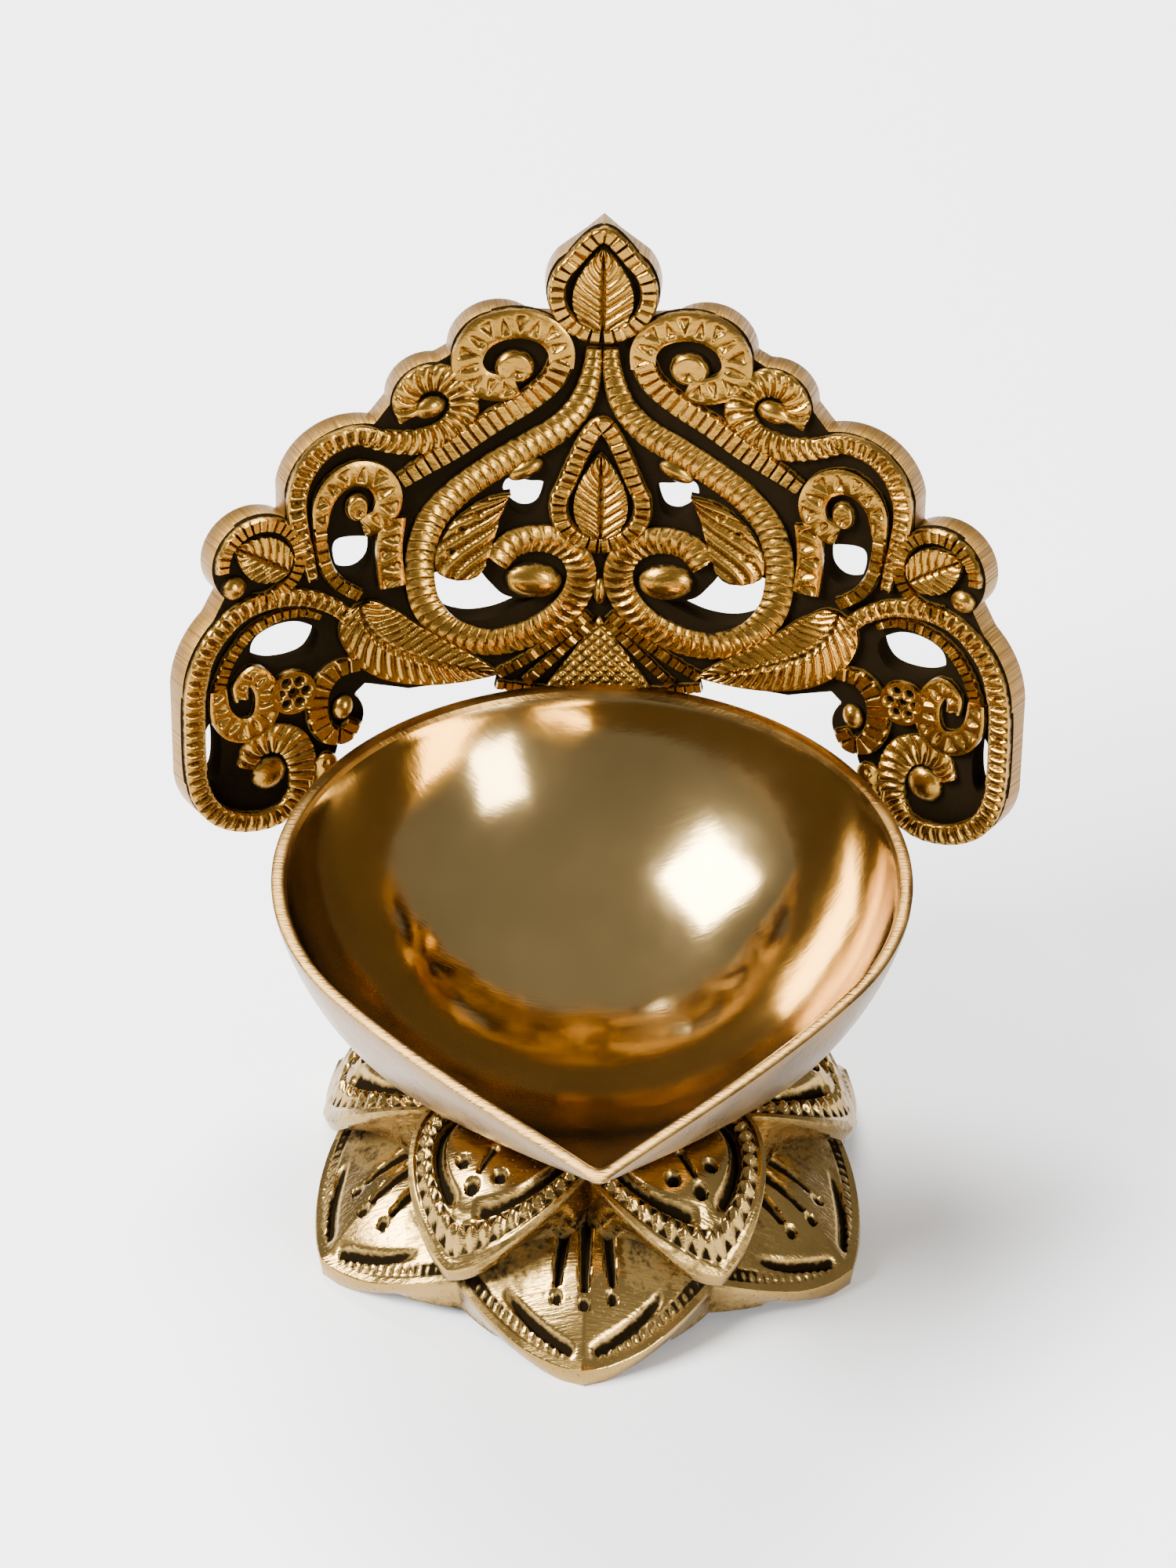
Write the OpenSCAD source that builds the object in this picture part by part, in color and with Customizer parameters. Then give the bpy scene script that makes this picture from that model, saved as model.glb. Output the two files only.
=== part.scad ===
// Diya oil lamp: a pointed brass bowl on a lotus base, with a curved openwork plate
// rising behind it. One central stud clamps the bowl and the plate's strap to the base.
// Front (the bowl's spout) faces -Y, +Z is up, and the origin is at the middle of the
// whole lamp's footprint, on the table.

/* [Bowl] */
// Radius of the bowl's round back half, outside
bowl_r = 39; // [36:0.5:41]
// Reach of the spout's point in front of the bowl's centre
spout_reach = 56.5; // [54:0.5:62]
// Height of the bowl's rim above the table
rim_z = 49.5; // [48:0.5:54]
// Depth of the bowl outside, from the rim to its round bottom
bowl_depth = 31.5; // [30:0.5:32]
// Wall of the bowl
bowl_wall = 1.8; // [1.4:0.1:2.4]
// Turn of the spout to the right of straight ahead, as bolted
bowl_turn = 2; // [-4:0.5:4]

/* [Lotus base] */
// Radius of the six lower petals' tips, which stand on the table
lower_tip_r = 38; // [36:0.5:40]
// Radius of the six upper petals' tips
upper_tip_r = 33.6; // [33:0.2:35]
// Height of the upper petals' shoulder
lotus_h = 21; // [20.5:0.25:21.25]
// Wall of the petals
petal_wall = 2.4; // [2:0.1:2.8]

/* [Back plate] */
// Height of the plate's crown above the rim, along the plate
plate_h = 62.8; // [60:0.2:66]
// Arc length from the plate's centre line to a wing's outer edge
wing_arc = 54; // [52:0.5:56]
// Radius that the plate is curved to, around the bowl
plate_r = 90; // [84:1:100]
// Thickness of the plate
plate_t = 4.5; // [3.5:0.1:5]
// Backward lean of the plate
plate_lean = 7; // [4:0.5:9]

/* [Clamp] */
// Thread diameter of the stud
stud_d = 5; // [4:0.5:6]
// Width of the strap that holds the plate
strap_w = 12; // [10:0.5:14]
// Thickness of the strap
strap_t = 2; // [1.5:0.1:2.2]

/* [Hidden] */

petals = 6;
petal_step = 360 / petals;

// the bowl touches the plate's front here, measured from the lotus axis
plate_gap = 0.5;
plate_y = bowl_r + plate_gap;
plate_back_y = plate_y + plate_h * sin(plate_lean) + plate_t * cos(plate_lean);
// the lotus axis stands a little behind or before the footprint's middle
axis_y = (spout_reach - plate_back_y) / 2;

// seat: the web of the base, the strap on it, then the bowl's foot
web_top = 14.5;
web_t = 2.5;
foot_z = web_top + strap_t;
// the foot runs up into the round bottom by 2.5
foot_h = rim_z - bowl_depth + 2.5 - foot_z;
foot_r = 9;
spout_blend = 3.5;
spout_nose_r = 0.8;

hole_play = 0.3;
washer_r = 5.5;
washer_t = 1;
spring_r = 4.4;
spring_t = 1.3;
nut_flats = stud_d * 1.6;
nut_t = stud_d * 0.8;
washer_z = web_top - web_t - washer_t;
spring_z = washer_z - spring_t;
nut_z = spring_z - nut_t;
stud_end = 1.2;
stud_grip = 1.6;
eps = 0.01;

module on_axis() {
    translate([0, axis_y, 0]) children();
}

// radius of the ball that a cap r across and depth deep is cut from
function ball_r(r, depth) = (r * r + depth * depth) / (2 * depth);

// ---- bowl ----

// the bottom cap of a ball: radius r at its flat top, which is at z = 0
module ball_cap(r, depth) {
    steps = 9;
    ball = ball_r(r, depth);
    edge = asin(r / ball);
    rotate_extrude($fn = 56)
        polygon(concat([[0, 0]],
            [for (i = [0 : steps]) let (a = edge * (1 - i / steps))
                [ball * sin(a), ball * (1 - cos(a)) - depth]]));
}

// the bowl's filled form at one distance in from its outside
module bowl_form(inset) {
    hull() {
        ball_cap(bowl_r - inset, bowl_depth - inset);
        translate([0, -spout_blend, 0]) ball_cap(bowl_r - inset, bowl_depth - inset - 1);
        translate([0, -spout_reach + spout_nose_r + inset * 1.5, -1])
            cylinder(r = spout_nose_r, h = 1, $fn = 16);
    }
}

module oil_bowl() {
    color("goldenrod")
    on_axis() rotate([0, 0, bowl_turn]) difference() {
        union() {
            translate([0, 0, rim_z]) bowl_form(0);
            translate([0, 0, foot_z]) cylinder(r = foot_r, h = foot_h, $fn = 48);
        }
        translate([0, 0, rim_z + eps]) bowl_form(bowl_wall);
        translate([0, 0, foot_z - eps]) cylinder(d = stud_d, h = stud_grip, $fn = 32);
    }
}

// ---- lotus base ----

// star of petal tips: tips at tip_r, notches at notch_r, edges bulging out between them
module petal_star(tip_r, notch_r, bulge) {
    quarter = petal_step / 4;
    edge_r = (tip_r + notch_r) / 2 + bulge;
    radii = [tip_r, edge_r, notch_r, edge_r];
    polygon([for (i = [0 : petals * 4 - 1])
        radii[i % 4] * [sin(i * quarter), -cos(i * quarter)]]);
}

lower_bulge = 0.3;
upper_bulge = 2.4;

// sloping outside of the lower petals, from the tip on the table up to the seat
lower_slope = [
    [lower_tip_r, 0], [lower_tip_r - 2.8, 3.8], [lower_tip_r - 6, 7.4],
    [lower_tip_r - 10.5, 11], [lower_tip_r - 16, 13.5]
];
// domed outside of the upper petals, from the overhanging tip up to the shoulder
upper_dome = [
    [upper_tip_r - 3, 6], [upper_tip_r, 8.2], [upper_tip_r + 0.1, 10.8], [upper_tip_r - 1.6, 15],
    [upper_tip_r - 5.5, lotus_h - 1], [upper_tip_r - 10, lotus_h], [20, lotus_h - 1]
];

module lower_petals() {
    intersection() {
        rotate_extrude($fn = 72) polygon(concat([[0, 0]], lower_slope, [[0, web_top]]));
        linear_extrude(web_top) petal_star(lower_tip_r, lower_tip_r - 6.4, lower_bulge);
    }
}

module upper_petals() {
    intersection() {
        rotate_extrude($fn = 72) polygon(concat([[0, 6]], upper_dome, [[0, web_top]]));
        rotate([0, 0, petal_step / 2]) linear_extrude(lotus_h)
            petal_star(upper_tip_r + 0.2, upper_tip_r - 10.6, upper_bulge);
    }
}

module lotus_base() {
    hollow = concat([[0, -eps]],
        [for (p = lower_slope) [p[0] - petal_wall * 1.4, p[1] - (p[1] == 0 ? eps : 0.4)]],
        [[lower_tip_r - 18.5, web_top - web_t], [0, web_top - web_t]]);
    color("darkgoldenrod")
    on_axis() difference() {
        union() {
            lower_petals();
            upper_petals();
        }
        rotate_extrude($fn = 72) polygon(hollow);
        translate([0, 0, web_top - web_t - eps])
            cylinder(d = stud_d + hole_play, h = web_t + 2 * eps, $fn = 32);
        // channel for the strap, cut through the rear petal's shoulder
        translate([-strap_w / 2 - hole_play, 0, web_top])
            cube([strap_w + 2 * hole_play, upper_tip_r + 2, lotus_h]);
    }
}

// ---- back plate ----

// sideways place of a point that lies s along the plate's curve, at its rear face
function across(s) = (plate_r + plate_t) * sin(s / plate_r * 180 / PI);

// an outline's points are [arc length from the centre line, height above the rim]
function on_curve(points) = [for (p = points) [across(p[0]), p[1]]];

// the same outline on the left side, walked backwards so that it carries on
function mirrored(points) = [for (i = [len(points) - 1 : -1 : 0]) [-points[i][0], points[i][1]]];

// round stretch of an outline about a centre, between two angles
function bend(centre, r, from, to, steps = 7) = [for (i = [0 : steps])
    let (a = from + (to - from) * i / steps) centre + r * [cos(a), sin(a)]];

crown_tip = [[0, plate_h]];

// right half of the plate's edge, from below the crown's tip down to the foot of the plate
half_edge = concat(
    bend([0, plate_h - 9], 6.9, 40, -28, 5),
    bend([12.6, 45.6], 5.9, 128, 2),
    bend([20.8, 39.8], 5.2, 96, 2, 6),
    bend([30.5, 28.5], 9.2, 104, 8),
    bend([wing_arc - 10.8, 21.2], 6.2, 128, -44, 9),
    bend([wing_arc - 12.6, 4.5], 12.6, 55, 4, 6),
    bend([wing_arc - 10.2, -6.8], 10.2, -6, -112),
    [[36.9, -14.6], [34.7, -11.6], [33.4, -8.0]],
    bend([33.6, -3.2], 3.8, -100, -230, 5),
    [[24, -0.8], [13, 0.4], [7, -2.7]]
);

// windows through the right half
half_windows = [
    [[6.6, 27.6], [7.4, 24.2], [9.2, 22.8], [12.4, 25.4], [11.8, 28.2]],
    concat([[8.2, 12.2]], bend([16, 15.8], 7.3, 225, 350, 8), [[17, 16.5]],
        bend([9.4, 17.6], 5.7, -30, -75, 3)),
    bend([31, 19.3], 2.9, 0, 330, 11),
    concat(bend([38.4, 8.8], 2.9, 100, 260, 6), bend([42.2, 8.6], 2.9, -80, 80, 6)),
    concat(bend([44.2, -3.8], 7.3, 34, -38, 6), bend([54.4, -4.2], 5.2, 215, 146, 4))
];

module plate_outline() {
    difference() {
        polygon(on_curve(concat(crown_tip, half_edge, mirrored(half_edge))));
        for (window = half_windows) {
            polygon(on_curve(window));
            polygon(on_curve(mirrored(window)));
        }
    }
}

// turns the plate's own frame (X across, Y to the rear, Z up it) into the lamp's
module on_plate() {
    on_axis() translate([0, plate_y, rim_z]) rotate([-plate_lean, 0, 0]) children();
}

module back_plate() {
    low = 30;
    reach = 30;
    color("peru")
    on_plate() intersection() {
        translate([0, -plate_r, -low]) difference() {
            cylinder(r = plate_r + plate_t, h = plate_h + low + 2, $fn = 180);
            translate([0, 0, -1]) cylinder(r = plate_r, h = plate_h + low + 4, $fn = 180);
        }
        translate([0, plate_t + 1, 0]) rotate([90, 0, 0]) linear_extrude(reach) plate_outline();
    }
}

// ---- clamp ----

// strap: flat on the web, up along the bowl's back, then flat against the plate's rear
module plate_strap() {
    clear = 0.4;
    back = plate_y + plate_t + 0.15;
    ball = ball_r(bowl_r, bowl_depth);
    ball_z = rim_z - bowl_depth + ball;
    arc_from = 21.5;
    arc_to = 59;
    arc = [for (a = [arc_from : 3.75 : arc_to])
        [0, ball_z] + (ball + clear) * [sin(a), -cos(a)]];
    outer = [for (a = [arc_from : 3.75 : arc_to])
        [0, ball_z] + (ball + clear + strap_t) * [sin(a), -cos(a)]];
    rise = 13;
    lean = [sin(plate_lean), cos(plate_lean)];
    knee = [back - 0.4, rim_z - 4.6];
    tang_foot = [back, rim_z - 1];
    side = concat(
        [[-foot_r, web_top], [-foot_r, foot_z], [arc[0][0] - 2.2, foot_z]],
        arc, [knee, tang_foot, tang_foot + rise * lean],
        [tang_foot + rise * lean + [strap_t, 0], tang_foot + [strap_t, 0],
         knee + [strap_t + 0.4, -0.8]],
        [for (i = [len(outer) - 1 : -1 : 0]) outer[i]],
        [[outer[0][0] - 0.4, web_top]]);
    color("tan")
    on_axis() difference() {
        translate([-strap_w / 2, 0, 0]) rotate([90, 0, 90]) linear_extrude(strap_w) polygon(side);
        translate([0, 0, web_top - 1]) cylinder(d = stud_d + hole_play, h = strap_t + 2, $fn = 32);
    }
}

module clamp_stud() {
    color("darkgoldenrod")
    on_axis() translate([0, 0, nut_z - stud_end])
        cylinder(d = stud_d, h = foot_z + stud_grip - nut_z + stud_end - 0.1, $fn = 32);
}

module plain_washer() {
    color("gainsboro")
    on_axis() translate([0, 0, washer_z]) difference() {
        cylinder(r = washer_r, h = washer_t, $fn = 40);
        translate([0, 0, -eps]) cylinder(d = stud_d + hole_play, h = washer_t + 2 * eps, $fn = 32);
    }
}

module spring_washer() {
    split_w = 0.8;
    color("dimgray")
    on_axis() translate([0, 0, spring_z]) difference() {
        cylinder(r = spring_r, h = spring_t, $fn = 40);
        translate([0, 0, -eps]) cylinder(d = stud_d + hole_play, h = spring_t + 2 * eps, $fn = 32);
        translate([-split_w / 2, 0, -eps]) cube([split_w, spring_r + 1, spring_t + 2 * eps]);
    }
}

module hex_nut() {
    color("silver")
    on_axis() translate([0, 0, nut_z]) difference() {
        cylinder(d = nut_flats / cos(30), h = nut_t, $fn = 6);
        translate([0, 0, -eps]) cylinder(d = stud_d, h = nut_t + 2 * eps, $fn = 32);
    }
}

lotus_base();
oil_bowl();
back_plate();
plate_strap();
clamp_stud();
plain_washer();
spring_washer();
hex_nut();
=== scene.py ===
"""A brass diya oil lamp: lotus base, pointed bowl and a curved openwork plate, around its CAD frame."""

import math

import bmesh
import bpy
from bpy.props import FloatProperty, FloatVectorProperty, PointerProperty
from mathutils import Matrix, Vector, geometry


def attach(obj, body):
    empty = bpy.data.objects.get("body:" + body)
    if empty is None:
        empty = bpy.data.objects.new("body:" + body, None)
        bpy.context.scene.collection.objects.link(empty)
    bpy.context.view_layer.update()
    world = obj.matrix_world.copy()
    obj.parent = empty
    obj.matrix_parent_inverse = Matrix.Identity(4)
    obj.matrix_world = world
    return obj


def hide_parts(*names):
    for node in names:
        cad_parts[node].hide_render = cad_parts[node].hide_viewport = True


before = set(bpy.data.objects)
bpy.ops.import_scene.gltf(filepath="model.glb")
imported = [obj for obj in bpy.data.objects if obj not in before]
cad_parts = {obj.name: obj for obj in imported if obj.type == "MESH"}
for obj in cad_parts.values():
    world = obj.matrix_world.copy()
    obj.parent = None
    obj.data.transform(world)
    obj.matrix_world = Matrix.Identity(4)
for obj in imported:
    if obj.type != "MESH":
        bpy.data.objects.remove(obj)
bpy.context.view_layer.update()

bl_info = {
    "name": "Diya Oil Lamp",
    "version": (1, 0, 0),
    "blender": (4, 5, 0),
    "location": "3D View > Sidebar > Diya",
    "description": "Builds a cast brass diya with a lotus base, a pointed bowl and a scrollwork plate",
    "category": "Add Mesh",
}

# Shapes are made in millimetres and scaled to metres once. Properties, lights and the camera
# are in metres.
MM = 0.001
PETALS = 6
PETAL_ANGLE = 360 / PETALS

# The plate is shaped flat first: X is the arc length from its centre line, Y the height above
# the bowl's rim and Z the relief, from the recessed ground at 0 up to the highest tops.
RELIEF = 1.3
SKIRT_DEPTH = -0.4
# The flat plate is cut into upright strips, this many each side, so that it can bend.
STRIP_WIDTH = 2.0
STRIPS = 28
# Points that each stretch of a curve is first drawn with.
CURVE_POINTS = 25
# File strokes are counted along the plate's outline. Its windows count from here on, each pair
# starting a step after the last.
WINDOW_RUN = 1000.0
WINDOW_STEP = 30.0


# ------------ sizes and colours


def metres(name, description, default):
    """A property for a size."""
    return FloatProperty(name=name, description=description, default=default, unit="LENGTH")


def degrees(name, description, default):
    """A property for an angle."""
    return FloatProperty(name=name, description=description, default=math.radians(default),
                         unit="ROTATION")


def tint(name, description, default):
    """A property for a colour."""
    return FloatVectorProperty(name=name, description=description, default=default,
                               subtype="COLOR", size=3, min=0, max=1)


class DiyaSizes(bpy.types.PropertyGroup):
    """Main sizes of the lamp"""

    bowl_radius: metres("Bowl radius", "Outside radius of the bowl's round half", 0.039)
    spout_reach: metres("Spout reach", "From the bowl's centre to the point of its spout", 0.0565)
    rim_height: metres("Rim height", "Height of the bowl's rim above the table", 0.0495)
    bowl_depth: metres("Bowl depth", "Outside depth of the bowl below its rim", 0.0315)
    bowl_wall: metres("Bowl wall", "Thickness of the bowl's wall", 0.0018)
    bowl_turn: degrees("Bowl turn", "How far the spout is turned to the right", 2)
    lower_tip: metres("Lower petal tips", "Radius of the petal tips that stand on the table", 0.038)
    upper_tip: metres("Upper petal tips", "Radius of the upper petal tips", 0.0336)
    lotus_height: metres("Lotus height", "Height of the upper petals' shoulder", 0.021)
    plate_height: metres("Plate height", "From the rim up the plate to its crown's tip", 0.0628)
    plate_curve: metres("Plate curve", "Radius that the plate's front is curved to", 0.090)
    plate_thickness: metres("Plate thickness", "From the highest relief to the plate's rear", 0.0045)
    plate_lean: degrees("Plate lean", "How far the plate leans back", 7)
    plate_gap: metres("Plate gap", "Between the bowl's rim and the plate", 0.0005)


class DiyaFinish(bpy.types.PropertyGroup):
    """Colours of the lamp and its floor"""

    polished: tint("Polished brass", "Colour of the bowl", (0.40, 0.272, 0.105))
    # Darker than the polished colour: partly the brushed finish of the rim and outside, partly painted
    # shade that stands in for the shaded table the outside reflects.
    brushed_with_painted_shade: tint("Brushed brass with painted shade", "Colour of the bowl's rim and outside", (0.20, 0.112, 0.030))
    bright: tint("Bright brass", "Colour of the lotus base", (0.33, 0.208, 0.062))
    antique: tint("Antique brass", "Colour of the plate's relief", (0.30, 0.158, 0.026))
    filed: tint("Filed brass", "Colour of the plate's filed edge", (0.36, 0.185, 0.033))
    patina: tint("Patina", "Colour of the dark recesses", (0.007, 0.0045, 0.002))
    floor: tint("Floor", "Colour of the table", (0.83, 0.83, 0.835))


def mm(length):
    """A property's length in millimetres."""
    return length / MM


def sizes():
    return bpy.context.scene.diya_sizes


def finish_colours():
    return bpy.context.scene.diya_finish


def axis_y():
    """The lotus axis, measured from the middle of the lamp's footprint."""
    s = sizes()
    plate_top = mm(s.plate_height) * math.sin(s.plate_lean)
    rear = plate_front() + plate_top + mm(s.plate_thickness) * math.cos(s.plate_lean)
    return (mm(s.spout_reach) - rear) / 2


def plate_front():
    """The plate's front at the rim, behind the lotus axis."""
    return mm(sizes().bowl_radius) + mm(sizes().plate_gap)


# ------------ curves


def spline(points, step, closed=False):
    """Even steps along a smooth curve through given points."""
    nodes = [Vector(p).to_3d() for p in points]
    count = len(nodes)
    last = count if closed else count - 1
    dense = []
    for i in range(last):
        before = nodes[(i - 1) % count] if closed or i > 0 else nodes[0]
        after = nodes[(i + 2) % count] if closed or i + 2 < count else nodes[-1]
        start = nodes[i]
        end = nodes[(i + 1) % count]
        bend_in = start + (end - before) / 6
        bend_out = end - (after - start) / 6
        dense += geometry.interpolate_bezier(start, bend_in, bend_out, end, CURVE_POINTS)[:-1]
    dense.append(dense[0].copy() if closed else nodes[-1])
    return even_steps(dense, step)


def even_steps(points, step):
    """The same line cut into equal lengths close to step."""
    reach = [0.0]
    for a, b in zip(points, points[1:]):
        reach.append(reach[-1] + (b - a).length)
    count = max(2, round(reach[-1] / step))
    out = []
    k = 0
    for i in range(count + 1):
        target = reach[-1] * i / count
        while k < len(points) - 2 and reach[k + 1] < target:
            k += 1
        share = (target - reach[k]) / max(reach[k + 1] - reach[k], 1e-9)
        out.append(points[k].lerp(points[k + 1], min(max(share, 0), 1)))
    return out


def arc(centre, radius, start, end, steps):
    """Points of a round stretch, its angles in degrees."""
    turn = [math.radians(start + (end - start) * i / steps) for i in range(steps + 1)]
    return [(centre[0] + radius * math.cos(a), centre[1] + radius * math.sin(a)) for a in turn]


def drop_line(centre, radius, tip):
    """A drop's outline from its foot, up over its point and back, tip above its centre."""
    side = math.degrees(math.asin(radius / tip))
    right = arc(centre, radius, -90, side, 9)
    left = [(2 * centre[0] - x, y) for x, y in reversed(right)]
    return right + [(centre[0], centre[1] + tip)] + left


def frac(x):
    """The part of x past its whole number, from 0 to 1."""
    return x - math.floor(x)


def hump(x, half):
    """1 at x = 0 falling smoothly to 0 at half either side."""
    t = min(abs(x) / half, 1)
    return (1 - t * t) ** 2


def clamp01(x):
    """x held between 0 and 1."""
    return min(max(x, 0.0), 1.0)


# ------------ chased patterns
# Each gives a height from 0 to 1 at a distance along a band, for side from -1 to 1 across it.


def rounded(side, fullness=0.94):
    """An arched section, highest in its middle."""
    return math.sqrt(max(0.0, 1 - (side * fullness) ** 2))


def rope(pitch):
    """Overlapping crescents that each rise towards their front."""
    def height(along, side):
        phase = frac(along / pitch - 0.42 * side * side)
        return rounded(side, 0.86) * (0.35 + 0.65 * phase ** 0.6 * clamp01((1 - phase) * 5))
    return height


def ladder(pitch):
    """Square ribs between two plain lips."""
    lip = 0.72

    def height(along, side):
        if abs(side) > lip:
            return 0.9 if abs(side) < 0.95 else 0.75
        return 0.3 + 0.68 * hump(frac(along / pitch) - 0.5, 0.47)
    return height


def triangles(pitch):
    """Punched triangles that point in and out by turns, on a low rounded band."""
    def height(along, side):
        cell = math.floor(along / pitch)
        x = abs(2 * frac(along / pitch) - 1)
        across = side if cell % 2 else -side
        pit = clamp01((0.62 - x - 0.62 * (across + 0.28)) * 3.2) * clamp01((0.62 - abs(side)) * 6)
        return (0.62 + 0.38 * rounded(side)) * (1 - 0.5 * pit)
    return height


def radial(pitch):
    """Curved flutes, raked back towards the band's outside."""
    def height(along, side):
        phase = frac(along / pitch + 0.22 * side + 0.2 * side * side)
        return (0.35 + 0.65 * rounded(side)) * (1 - 0.55 * hump(phase - 0.5, 0.3))
    return height


def studs(pitch):
    """Square pillow studs in a row, each with a soft flat top."""
    def height(along, side):
        x = abs(2 * frac(along / pitch) - 1)
        return 0.16 + 0.82 * min(1, 1.5 * (1 - x ** 4)) * min(1, 1.5 * (1 - abs(side) ** 4))
    return height


def notches(pitch):
    """Square nicks cut across the inner two thirds of a rail, its outer lip left plain."""
    def height(along, side):
        inside = clamp01((side + 0.62) * 9) * clamp01((0.8 - side) * 6)
        return (0.45 + 0.55 * rounded(side)) * (1 - 0.72 * inside * hump(frac(along / pitch) - 0.5, 0.3))
    return height


def slashes(pitch, rake, dots):
    """A feather: slanting grooves that cross it from edge to edge, with punched dots."""
    def height(along, side):
        groove = hump(frac((along - rake * side) / pitch) - 0.5, 0.24)
        z = (0.6 + 0.4 * rounded(side)) * (1 - 0.55 * groove)
        for at, across in dots:
            z -= 0.75 * hump(math.hypot(along - at, (side - across) * 2.2), 0.6)
        return max(z, 0.05)
    return height


def veins(pitch, rake, lip=0.0):
    """A leaf: raked grooves on both sides of a deep midrib."""
    def height(along, side):
        body = 0.6 + 0.4 * rounded(side)
        rib = hump(frac((along - rake * abs(side)) / pitch) - 0.5, 0.34)
        groove = hump(side, 0.13)
        rim = clamp01((abs(side) - 0.86) * 12) * lip
        return max(body * (1 - 0.45 * rib * (1 - rim)) * (1 - 0.7 * groove), 0.05)
    return height


# ------------ mesh tools


def new_mesh():
    """An empty mesh whose points keep their lift, for the patina, and their run, for file strokes."""
    bm = bmesh.new()
    bm.verts.layers.float.new("lift")
    bm.verts.layers.float.new("run")
    return bm


def formed_grid(bm, columns, rows, form):
    """A grid of columns by rows whose every point is placed by form(column share, row share)."""
    made = bmesh.ops.create_grid(bm, x_segments=columns, y_segments=rows, size=1.0)["verts"]
    lift = bm.verts.layers.float["lift"]
    for v in made:
        place, clean = form((v.co.x + 1) / 2, (v.co.y + 1) / 2)
        v.co = place
        v[lift] = clean
    return made


def close_underneath(bm, verts):
    """Joins a sheet's doubled points, drops a skirt from its edge and closes it below."""
    bmesh.ops.remove_doubles(bm, verts=verts, dist=1e-4)
    around = dict.fromkeys(e for v in verts if v.is_valid for e in v.link_edges)
    edges = [e for e in around if e.is_boundary]
    made = bmesh.ops.extrude_edge_only(bm, edges=edges)["geom"]
    lift = bm.verts.layers.float["lift"]
    for v in made:
        if isinstance(v, bmesh.types.BMVert):
            v.co.z = SKIRT_DEPTH
            v[lift] = 0
    rim = [e for e in made if isinstance(e, bmesh.types.BMEdge) and e.is_boundary]
    bmesh.ops.edgeloop_fill(bm, edges=rim)


def band(bm, points, half_width, pattern, columns=8, step=0.17, top=RELIEF):
    """A raised band along a smooth line, chased with a pattern.

    half_width is in mm, or a function of the share of the way along. base is the lowest that
    the pattern goes, as a share of the band's top."""
    base = 0.24
    line = spline(points, step)
    rows = len(line) - 1
    length = sum((b - a).length for a, b in zip(line, line[1:]))

    def form(column, row):
        i = round(row * rows)
        here = line[i]
        ahead = line[min(i + 1, rows)] - line[max(i - 1, 0)]
        across = Vector((-ahead.y, ahead.x, 0)).normalized()
        side = 2 * column - 1
        width = half_width(row) if callable(half_width) else half_width
        z = base + (1 - base) * pattern(row * length, side)
        place = here + across * side * width
        place.z = z * top
        return place, clamp01(z)

    close_underneath(bm, formed_grid(bm, columns, rows, form))


def boss(bm, centre, radii, top, pattern=None, turn=0.0, rings=10, spokes=40):
    """A round or oval raised boss, domed, or shaped by pattern(x share, y share)."""
    spin = Matrix.Rotation(math.radians(turn), 2)

    def form(column, row):
        angle = 2 * math.pi * row
        x = column * math.cos(angle)
        y = column * math.sin(angle)
        z = pattern(x, y) if pattern else math.sqrt(max(0.0, 1 - 0.93 * column * column))
        flat = spin @ Vector((x * radii[0], y * radii[1]))
        return Vector((centre[0] + flat.x, centre[1] + flat.y, z * top)), clamp01(z)

    close_underneath(bm, formed_grid(bm, rings, spokes, form))


def both_sides(bm):
    """Mirrors everything built so far to the plate's left half."""
    whole = bm.verts[:] + bm.edges[:] + bm.faces[:]
    bmesh.ops.mirror(bm, geom=whole, matrix=Matrix.Identity(4), merge_dist=0, axis="X")


def bend_plate(bm):
    """Wraps the flat plate around the bowl, leans it back and sets it behind the rim."""
    s = sizes()
    curve = mm(s.plate_curve)
    place = (Matrix.Translation((0, axis_y() + plate_front(), mm(s.rim_height)))
             @ Matrix.Rotation(-s.plate_lean, 4, "X"))
    for v in bm.verts:
        angle = v.co.x / curve
        radius = curve + RELIEF - v.co.z
        v.co = place @ Vector((radius * math.sin(angle), radius * math.cos(angle) - curve, v.co.y))


def add_object(name, data):
    """A new object in the scene."""
    made = bpy.data.objects.new(name, data)
    bpy.context.scene.collection.objects.link(made)
    return made


def mesh_object(bm, name, materials):
    """The bmesh as a new object with its materials."""
    mesh = bpy.data.meshes.new(name)
    bm.to_mesh(mesh)
    bm.free()
    for material in materials:
        mesh.materials.append(material)
    return add_object(name, mesh)


def finish_piece(bm, name, materials, replaces=(), crease=40):
    """Turns a bmesh in millimetres into a finished piece that rides on the lamp."""
    bmesh.ops.recalc_face_normals(bm, faces=bm.faces[:])
    bmesh.ops.scale(bm, vec=(MM, MM, MM), verts=bm.verts[:])
    for f in bm.faces:
        f.smooth = True
    for e in bm.edges:
        e.smooth = not (e.is_manifold and e.calc_face_angle(0) > math.radians(crease))
    piece = mesh_object(bm, name, materials)
    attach(piece, "root")
    if replaces:
        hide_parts(*replaces)


# ------------ shader groups


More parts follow.
